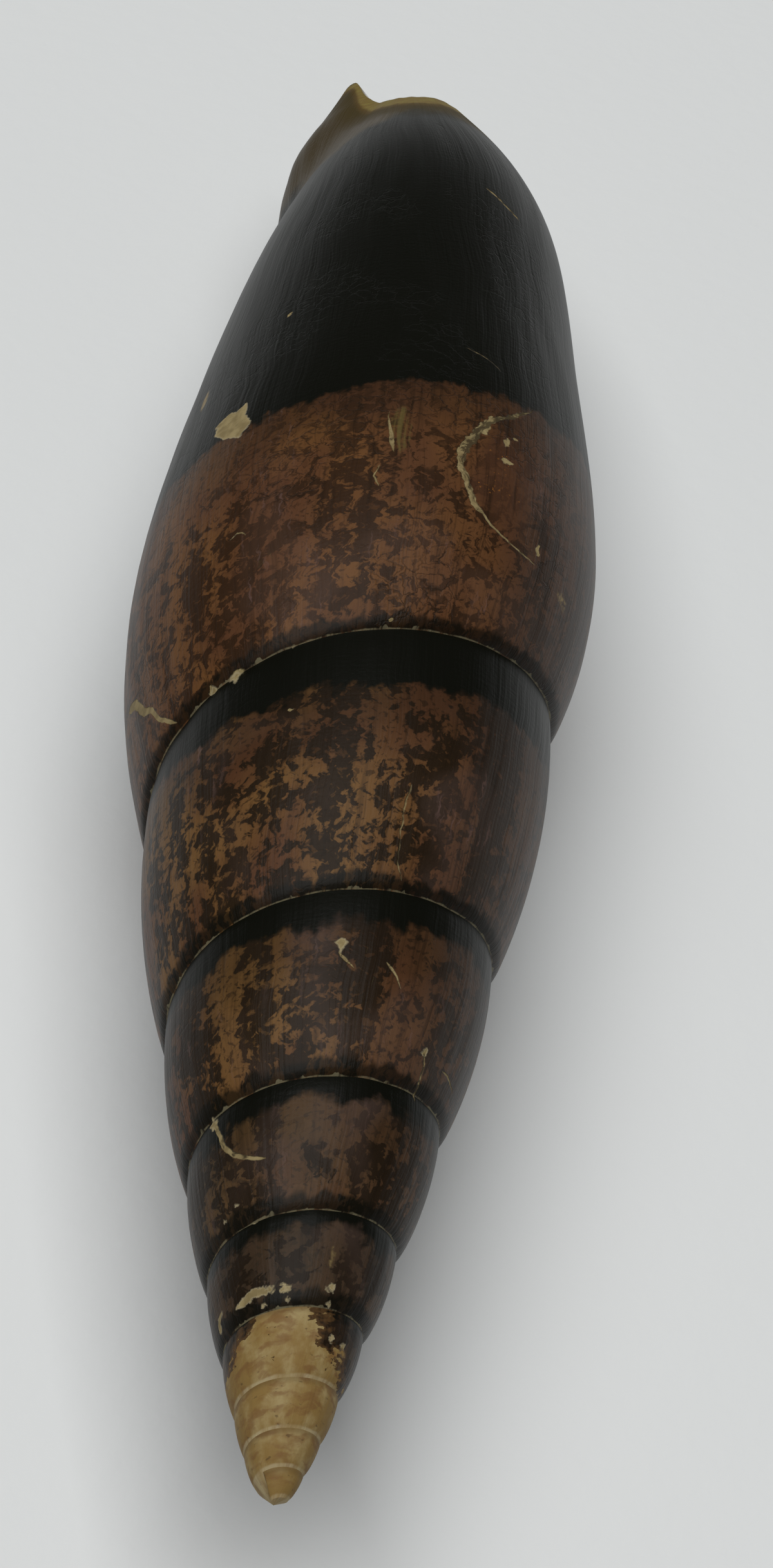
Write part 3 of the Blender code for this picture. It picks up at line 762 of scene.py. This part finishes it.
OLIVE = (0.105, 0.078, 0.024)
STRAW = (0.210, 0.150, 0.060)
AMBER = (0.105, 0.064, 0.018)
RIM_AMBER = (0.165, 0.112, 0.034)
SEAM_CREAM = (0.165, 0.145, 0.085)
SCAR_BROWN = (0.056, 0.042, 0.020)
CHIP_EDGE = (0.43, 0.37, 0.24)
TAN_STAIN = (0.160, 0.078, 0.028)
TAN_SPECK = (0.070, 0.042, 0.018)
TAN_SEAM_SHADOW = (0.090, 0.052, 0.020)
SEAM_PALE = (0.42, 0.35, 0.21)
THINNED_SKIN = (0.092, 0.048, 0.018)
CALLUS = (0.36, 0.27, 0.16)
OLIVE_PATCH = ((-0.3855, 42.9), (0.36, 1.45))  # the middle's turn and height, radii round and along
SKIN_SPECULAR = 0.09


def growth_place(turn, height):
    """Distance grown round the shell and distance in front of the seam, both in mm."""
    return np.interp(turn, ARC_TURNS, ARC_LENGTHS), height - suture_height(turn) / MM


material = bpy.data.materials.new("periostracum")
material.use_nodes = True
surface = material.node_tree.nodes["Principled BSDF"]
wires = Wiring(material.node_tree)
growth = wires.whole("growth")
above, to_next, to_rim = wires.split("edges")
past_black, wear, past_canal = wires.split("zones")
to_chip, scar_offset, to_scar = wires.split("flaws")
scar_width, _, to_callus = wires.split("spans")
backward, whorl_turn, _ = wires.split("places")
scar_along, scar_brown, _ = wires.split("healed")
orange_stain, olive_stain, tan_stain = wires.split("stains")
growth_node = wires.node("ShaderNodeGroup", {"node_tree": lines}, Growth=growth)
streaks = growth_node.outputs["Streaks"]

# Blotches: their edges are drawn out into spikes round the shell and gather in columns along it.
spikes = wires.add(wires.swing(growth, (0.9, 3.0, 0.0), 0.75, 3.0), wires.swing(growth, (0.8, 0.7, 0.0), 1.3))
bend = wires.swing(growth, (1.5, 1.2, 0.0), 1.3, 4.0)
early = wires.step(whorl_turn, -0.80, -1.10)
gentler = wires.add(1.0, wires.times(early, -0.40))
flowing = wires.shift(growth, wires.times(spikes, gentler), wires.times(bend, gentler))
shaken = wires.shift(growth, wires.swing(growth, (3.5, 2.5, 0.0), 0.45, 3.0),
                     wires.swing(growth, (2.5, 3.5, 0.0), 0.45, 3.0))
behind = wires.step(backward, 0.05, 0.45)
round_turn = wires.math("SINE", wires.times(wires.add(whorl_turn, 0.47), 2 * math.pi))
flank = wires.step(round_turn, 0.35, 1.0)
crest = wires.math("COSINE", wires.times(wires.add(whorl_turn, 0.39), 2 * math.pi))
columns = wires.noise(growth, (0.75, 0.07, 0.0), 2.0)
patches = wires.noise(growth, (0.20, 0.13, 0.0), 2.0)
limit = wires.add(wires.add(0.537, wires.times(behind, -0.034)), wires.times(early, -0.020))
old = wires.step(whorl_turn, -2.2, -2.9)
top_dark = wires.times(wires.add(wires.step(crest, 0.88, 0.99), -0.30), old)
limit = wires.add(limit, wires.times(top_dark, 0.080))
limit = wires.add(limit, wires.times(wires.add(columns, -0.5), wires.add(-0.30, wires.times(early, -0.30))))
limit = wires.add(limit, wires.times(wires.add(patches, -0.5), -0.14))
blotches = wires.add(wires.times(wires.noise(flowing, (1.15, 0.90, 0.0), 4.0, 0.6), 0.62),
                     wires.times(wires.noise(flowing, (3.2, 2.4, 0.0), 2.0), 0.38))
over = wires.add(blotches, wires.times(limit, -1.0))
blotched = wires.step(over, -0.006, 0.012)
halo = wires.step(over, -0.045, 0.0)
blotch_colour = wires.mix(early, BODY_BLOTCH, SPIRE_BLOTCH)
tone = wires.spots(growth, (0.25, 0.18, 0.0), 0.36, 0.64, 3.0)
ground = wires.mix(tone, wires.mix(early, ORANGE, OCHRE), RED_BROWN)
# The right flank of every whorl is tinted redder and darker: partly the shell's own tone, partly painted
# shade on the side away from the lamp.
ground = wires.tint(ground, RED_BROWN, flank, 0.75)
ground = wires.tint(ground, blotch_colour, halo, 0.30)
flecks = wires.spots(flowing, (5.2, 4.0, 0.0), 0.55, 0.62, 3.0)
ground = wires.tint(ground, blotch_colour, flecks, 0.60)
strength = wires.add(0.52, wires.times(wires.math("MAXIMUM", behind, early), 0.40))
aged = wires.step(wires.add(whorl_turn, wires.swing(growth, (0.5, 0.5, 0.0), 0.6)), -2.7, -4.0)
ground = wires.tint(ground, AGED, aged, 0.62)
brown = wires.mix(wires.times(blotched, strength), ground, blotch_colour)
islets = wires.spots(flowing, (3.6, 3.0, 0.0), 0.57, 0.63, 3.0)
brown = wires.tint(brown, ground, wires.times(islets, blotched), 0.50)
calm = wires.step(orange_stain, 0.10, 0.40)
brown = wires.tint(brown, CALM_BROWN, calm, 0.70)
# Painted reflection: a grey sheen on the grazing right flank of the younger whorls.
flank_sheen = wires.times(wires.step(round_turn, 0.84, 1.0), wires.step(whorl_turn, -3.0, -2.0))
brown = wires.tint(brown, FLANK_SHEEN_GREY, flank_sheen, 0.50)
near_black = wires.step(wires.add(past_black, wires.swing(flowing, (1.8, 1.3, 0.0), 3.2, 4.0)), -4.5, -0.2)
brown = wires.tint(brown, DARK_BROWN, near_black, 0.50)
# Dark streaks along the growth lines; their extra strength on the right flank is painted shade.
streak_dark = wires.times(wires.step(streaks, 0.50, 0.36), wires.add(0.40, wires.times(flank, 0.25)))
brown = wires.tint(brown, DARK_BROWN, streak_dark)
# Painted sheen: pale streaks along the growth lines inside the sheen's patches, fainter on the old whorls.
sheen_streaks = wires.spots(shaken, (6.0, 0.40, 0.0), 0.60, 0.72)
sheen = wires.spots(growth, (0.22, 0.16, 0.0), 0.50, 0.66)
# Painted highlight: a pinkish sheen on the crest, over the early whorls and the back part of each later one.
painted_highlight = wires.times(wires.times(sheen, wires.math("MAXIMUM", early, behind)), wires.step(crest, 0.55, 0.97))
highlight_colour = wires.mix(early, BODY_HIGHLIGHT, SPIRE_HIGHLIGHT)
brown = wires.tint(brown, highlight_colour, wires.times(painted_highlight, wires.add(0.16, wires.times(early, 0.16))))
sheen_streaks = wires.times(sheen_streaks, wires.add(0.42, wires.times(aged, -0.30)))
brown = wires.tint(brown, SHEEN_STREAK_PALE, wires.times(sheen_streaks, sheen))
cells = wires.node("ShaderNodeTexVoronoi", {"feature": "DISTANCE_TO_EDGE"}, Vector=flowing, Scale=1.3)
crackle = wires.times(wires.step(cells.outputs["Distance"], 0.05, 0.015), wires.step(patches, 0.50, 0.42))
crackle = wires.times(crackle, wires.add(0.5, wires.times(early, -0.35)))
brown = wires.tint(brown, DARK_BROWN, crackle)

# The black zone with its ragged edge, and the stains on either side of it.
ragged = wires.add(wires.swing(flowing, (0.8, 0.7, 0.0), 2.4, 5.0), wires.swing(growth, (2.6, 0.3, 0.0), 0.9))
black_mask = wires.math("MAXIMUM", wires.step(wires.add(past_black, ragged), -0.22, 0.28),
                        wires.step(past_black, 0.4, 0.9))
colour = wires.mix(black_mask, brown, BLACK)
dotted = wires.add(wires.times(orange_stain, 0.55), wires.swing(growth, (6.5, 5.5, 0.0), 2.0))
colour = wires.tint(colour, RUST, wires.step(dotted, 0.60, 0.76), 0.85)
stain_noise = wires.add(0.25, wires.times(wires.noise(flowing, (5.0, 4.0, 0.0), 4.0), 1.3))
for amount, stain in ((olive_stain, OLIVE), (tan_stain, STRAW)):
    colour = wires.tint(colour, stain, wires.step(wires.times(amount, stain_noise), 0.30, 0.55))
patch_middle, patch_radii = OLIVE_PATCH
olive_patch = wires.step(wires.away(shaken, growth_place(*patch_middle), patch_radii), 1.15, 0.80)
olive_patch = wires.times(olive_patch, wires.step(streaks, 0.42, 0.56))
colour = wires.tint(colour, OLIVE, olive_patch, 0.75)

# The front end: canal brown, a dull collar behind the rim and the rim's thin yellow edge.
canal_mask = wires.step(wires.add(past_canal, wires.swing(growth, (0.5, 0.5, 0.0), 2.0, 3.0)), -0.7, 0.9)
colour = wires.tint(colour, CANAL, canal_mask, 0.85)
collar = wires.step(wires.add(to_rim, wires.swing(growth, (0.8, 0.8, 0.0), 1.6, 3.0)), 5.2, 2.0)
colour = wires.tint(colour, COLLAR, collar, 0.75)
at_notch = wires.times(wires.step(whorl_turn, -0.20, -0.36), wires.step(whorl_turn, -0.585, -0.50))
rim_width = wires.add(0.50, wires.times(at_notch, 0.95))
rim_place = wires.add(to_rim, wires.swing(growth, (1.0, 1.0, 0.0), 0.5))
rim_mask = wires.step(wires.add(rim_place, wires.times(rim_width, -1.0)), 0.35, -0.15)
amber = wires.step(wires.add(rim_place, wires.times(rim_width, -1.0)), 1.1, 0.1)
colour = wires.tint(colour, AMBER, amber, 0.7)
rim_tone = wires.spots(growth, (0.5, 4.0, 0.0), 0.40, 0.60)
colour = wires.tint(colour, wires.mix(rim_tone, RIM_AMBER, RIM_YELLOW), rim_mask)

# The seam: a step darkened with painted shade, with a thin, broken line of bare shell at its foot.
young = wires.step(whorl_turn, -5.4, -4.4)
wavering = wires.add(above, wires.swing(growth, (1.1, 0.0, 0.0), 0.16, 3.0))
step_shade_top = wires.add(above, wires.swing(growth, (1.8, 0.8, 0.0), 0.9, 4.0))
step_shade = wires.times(wires.step(wavering, 0.0, 0.04), wires.step(step_shade_top, 0.62, 0.34))
# Painted shade on the step's face, on the younger whorls.
colour = wires.tint(colour, BLACK, wires.times(step_shade, young), 0.80)
seam_gaps = wires.spots(growth, (0.9, 0.0, 0.0), 0.42, 0.54, 4.0, 0.7)
seam_chips = wires.spots(growth, (1.3, 0.0, 0.0), 0.54, 0.66, 3.0, 0.6)
line_width = wires.add(0.035, wires.times(seam_chips, 0.085))
seam_line = wires.step(wires.add(wavering, wires.times(line_width, -1.0)), 0.015, -0.015)
colour = wires.tint(colour, SEAM_CREAM, wires.times(seam_line, seam_gaps), 0.75)

# Flaws: chips down to cream shell, and healed cuts with strands along them.
flaking = wires.times(wires.swing(growth, (4.5, 4.5, 0.0), 0.18, 4.0), wires.add(1.0, aged))
flaked = wires.add(to_chip, flaking)
chip_mask = wires.step(flaked, 0.03, -0.03)
for middle, fleck_radii in FLECKS:
    fleck = wires.step(wires.away(shaken, growth_place(*middle), fleck_radii), 1.15, 0.85)
    chip_mask = wires.math("MAXIMUM", chip_mask, fleck)
lumpy = wires.times(wires.swing(growth, (2.4, 2.4, 0.0), 2.5, 4.0), wires.step(scar_brown, -0.05, 0.25))
lumpy = wires.add(1.0, lumpy)
wobble = wires.add(scar_offset, wires.swing(growth, (1.6, 1.6, 0.0), 0.22, 3.0))
scar_gap = wires.add(wires.math("ABSOLUTE", wobble), wires.times(wires.times(scar_width, lumpy), -1.0))
scar_mask = wires.times(wires.step(scar_gap, 0.022, -0.022), wires.step(to_scar, 1.0, 0.8))
scar_mask = wires.times(scar_mask, wires.step(scar_width, 0.004, 0.012))
lengthwise = wires.node("ShaderNodeCombineXYZ", {}, X=wobble, Y=scar_along).outputs[0]
strands = wires.noise(lengthwise, (6.5, 7.0, 0.0), 3.0)
knots = wires.noise(growth, (3.0, 3.0, 0.0), 3.0)
woven = wires.add(wires.times(strands, 0.6), wires.times(knots, 0.4))
bare_tone = wires.mix(wires.spots(growth, (2.2, 2.2, 0.0), 0.36, 0.64, 4.0), BUFF, CREAM)
browned = wires.add(wires.times(scar_brown, -0.17), wires.times(wobble, -0.45))
browned = wires.step(wires.add(woven, browned), 0.50, 0.36)
scar_tone = wires.mix(browned, bare_tone, SCAR_BROWN)
colour = wires.tint(colour, bare_tone, chip_mask)
chip_edge = wires.times(wires.step(wires.math("ABSOLUTE", wires.add(flaked, 0.01)), 0.05, 0.01), 0.35)
colour = wires.tint(colour, CHIP_EDGE, chip_edge)
colour = wires.tint(colour, scar_tone, scar_mask, 0.90)

# Wear: the skin thins, frays and gives way to tan shell toward the apex.
frayed = wires.swing(flowing, (1.3, 1.7, 0.0), 2.3, 5.0)
frayed = wires.add(frayed, wires.swing(growth, (4.0, 5.0, 0.0), 1.4, 3.0))
frayed = wires.times(frayed, wires.times(wires.step(wear, 0.0, 0.2), wires.step(whorl_turn, -6.1, -5.75)))
worn_level = wires.add(wear, frayed)
thin_mask = wires.times(wires.step(worn_level, 0.05, 0.42), 0.75)
worn_mask = wires.step(worn_level, 0.44, 0.52)
tan = wires.mix(wires.spots(growth, (1.1, 0.8, 0.0), 0.42, 0.70, 4.0, 0.6), WORN_TAN, WORN_PALE)
stained = wires.spots(flowing, (1.2, 2.6, 0.0), 0.48, 0.64, 4.0)
tan = wires.tint(tan, TAN_STAIN, stained, 0.62)
specks = wires.spots(growth, (3.2, 5.0, 0.0), 0.64, 0.72, 3.0)
tan = wires.tint(tan, TAN_SPECK, specks, 0.6)
# Painted shadow on the worn shell, in the crease under the next whorl's edge.
seam_shadow = wires.step(to_next, 0.30, 0.04)
tan = wires.tint(tan, TAN_SEAM_SHADOW, seam_shadow, 0.45)
seam_glow = wires.times(wires.step(wavering, 0.13, 0.06), wires.add(0.2, wires.times(seam_gaps, 0.4)))
tan = wires.tint(tan, SEAM_PALE, seam_glow)
colour = wires.tint(colour, THINNED_SKIN, thin_mask)
colour = wires.tint(colour, tan, worn_mask)
callus_mask = wires.step(wires.add(to_callus, wires.swing(growth, (0.8, 0.8, 0.0), 1.0)), 1.1, 0.5)
colour = wires.tint(colour, CALLUS, callus_mask, 0.8)

# Gloss and bump: the growth lines, with the chips and the worn places let in below the skin.
bare = wires.math("MAXIMUM", wires.math("MAXIMUM", chip_mask, scar_mask), worn_mask)
rough = wires.add(0.31, wires.times(streaks, 0.14))
rough = wires.add(rough, wires.times(wires.math("MAXIMUM", bare, collar), 0.22))
bump_height = wires.add(wires.times(growth_node.outputs["Height"], 0.045), wires.times(bare, -0.03))
bump_height = wires.add(bump_height, wires.times(wires.noise(growth, (6.0, 6.0, 0.0), 3.0), 0.008))
bump_height = wires.add(bump_height, wires.times(crackle, -0.016))
bump = wires.node("ShaderNodeBump", {}, Strength=1.0, Distance=MM, Height=bump_height)
wires.feed(surface.inputs["Base Color"], colour)
wires.feed(surface.inputs["Roughness"], rough)
wires.feed(surface.inputs["Normal"], bump.outputs[0])
surface.inputs["Specular IOR Level"].default_value = SKIN_SPECULAR
mesh.materials.append(material)

# The inner layer: smooth pale shell, glossy where the animal moved over it, brown at the very lip.
INNER_BUFF = (0.50, 0.43, 0.33)
INNER_WHITE = (0.62, 0.57, 0.48)
ZONE_SHADE = (0.26, 0.22, 0.18)
LIP_BROWN = (0.13, 0.095, 0.045)

material = bpy.data.materials.new("inner_layer")
material.use_nodes = True
surface = material.node_tree.nodes["Principled BSDF"]
wires = Wiring(material.node_tree)
growth = wires.whole("growth")
past_black, _, _ = wires.split("zones")
_, inward, _ = wires.split("spans")
growth_node = wires.node("ShaderNodeGroup", {"node_tree": lines}, Growth=growth)
pale = wires.mix(wires.noise(growth, (0.3, 0.2, 0.0), 3.0), INNER_BUFF, INNER_WHITE)
shaded = wires.tint(pale, ZONE_SHADE, wires.step(past_black, -1.0, 2.0), 0.35)
edge_band = wires.step(wires.add(inward, wires.swing(growth, (0.7, 0.7, 0.0), 0.8, 3.0)), 1.3, 0.1)
colour = wires.tint(shaded, LIP_BROWN, edge_band)
wires.feed(surface.inputs["Base Color"], colour)
wires.feed(surface.inputs["Roughness"], wires.add(0.24, wires.times(growth_node.outputs["Streaks"], 0.14)))
bump = wires.node("ShaderNodeBump", {}, Strength=1.0, Distance=MM,
                  Height=wires.times(growth_node.outputs["Height"], 0.02))
wires.feed(surface.inputs["Normal"], bump.outputs[0])
mesh.materials.append(material)

# ------------------------------------------------------------------------------------------------
# Paper, light and camera
# The shell lies on a sheet of smooth pale paper under one broad soft light, above and a little to
# the left.
PAPER_REACH = 1.5
PAPER_GREY = (0.700, 0.716, 0.712)
PAPER_WHITE = (0.760, 0.774, 0.770)
ROOM_LIGHT = (0.060, 0.061, 0.062)
ROOM_SEEN = (0.60, 0.615, 0.612)
LAMP_PLACE = (-0.07, -0.02, 0.62)
LAMP_SIZE = 0.68
LAMP_POWER = 4.5
CAMERA_PLACE = (-0.00644, -0.09422, 0.09272)
CAMERA_ANGLES = (45.191, -8.432, 3.081)
LENS = 70.965
SENSOR = 36.0

corners = [(x * PAPER_REACH, y * PAPER_REACH, 0.0) for x, y in ((-1, -1), (1, -1), (1, 1), (-1, 1))]
mesh = bpy.data.meshes.new("paper")
mesh.from_pydata(corners, [], [(0, 1, 2, 3)])
material = bpy.data.materials.new("paper")
material.use_nodes = True
surface = material.node_tree.nodes["Principled BSDF"]
wires = Wiring(material.node_tree)
spot = wires.node("ShaderNodeTexCoord").outputs["Object"]
tooth = wires.noise(spot, (900.0, 900.0, 900.0), 3.0)
cloud = wires.noise(spot, (9.0, 9.0, 9.0), 2.0)
wires.feed(surface.inputs["Base Color"], wires.mix(cloud, PAPER_GREY, PAPER_WHITE))
surface.inputs["Roughness"].default_value = 0.85
bump = wires.node("ShaderNodeBump", {}, Strength=0.25, Distance=0.0002, Height=tooth)
wires.feed(surface.inputs["Normal"], bump.outputs[0])
mesh.materials.append(material)
paper = bpy.data.objects.new("paper", mesh)
bpy.context.scene.collection.objects.link(paper)


# The light: a square one, turned to face the middle of the paper under the shell.
lamp = bpy.data.lights.new("overhead", "AREA")
lamp.shape = "SQUARE"
lamp.size = LAMP_SIZE
lamp.energy = LAMP_POWER
overhead = bpy.data.objects.new("overhead", lamp)
overhead.location = LAMP_PLACE
lamp_x, lamp_y, lamp_z = LAMP_PLACE
overhead.rotation_euler = (math.atan2(math.hypot(lamp_x, lamp_y), lamp_z), 0.0, math.atan2(lamp_x, -lamp_y))
bpy.context.scene.collection.objects.link(overhead)

world = bpy.data.worlds.new("room")
world.use_nodes = True
bpy.context.scene.world = world
wires = Wiring(world.node_tree)
background = world.node_tree.nodes["Background"]
seen = wires.node("ShaderNodeLightPath").outputs["Is Camera Ray"]
wires.feed(background.inputs["Color"], wires.mix(seen, ROOM_LIGHT, ROOM_SEEN))

camera_data = bpy.data.cameras.new("camera")
camera_data.sensor_width = SENSOR
camera_data.lens = LENS
camera_data.clip_start = 0.01
camera = bpy.data.objects.new("camera", camera_data)
camera.location = CAMERA_PLACE
camera.rotation_euler = [math.radians(angle) for angle in CAMERA_ANGLES]
bpy.context.scene.collection.objects.link(camera)
bpy.context.scene.camera = camera
bpy.context.scene.view_settings.view_transform = "Standard"
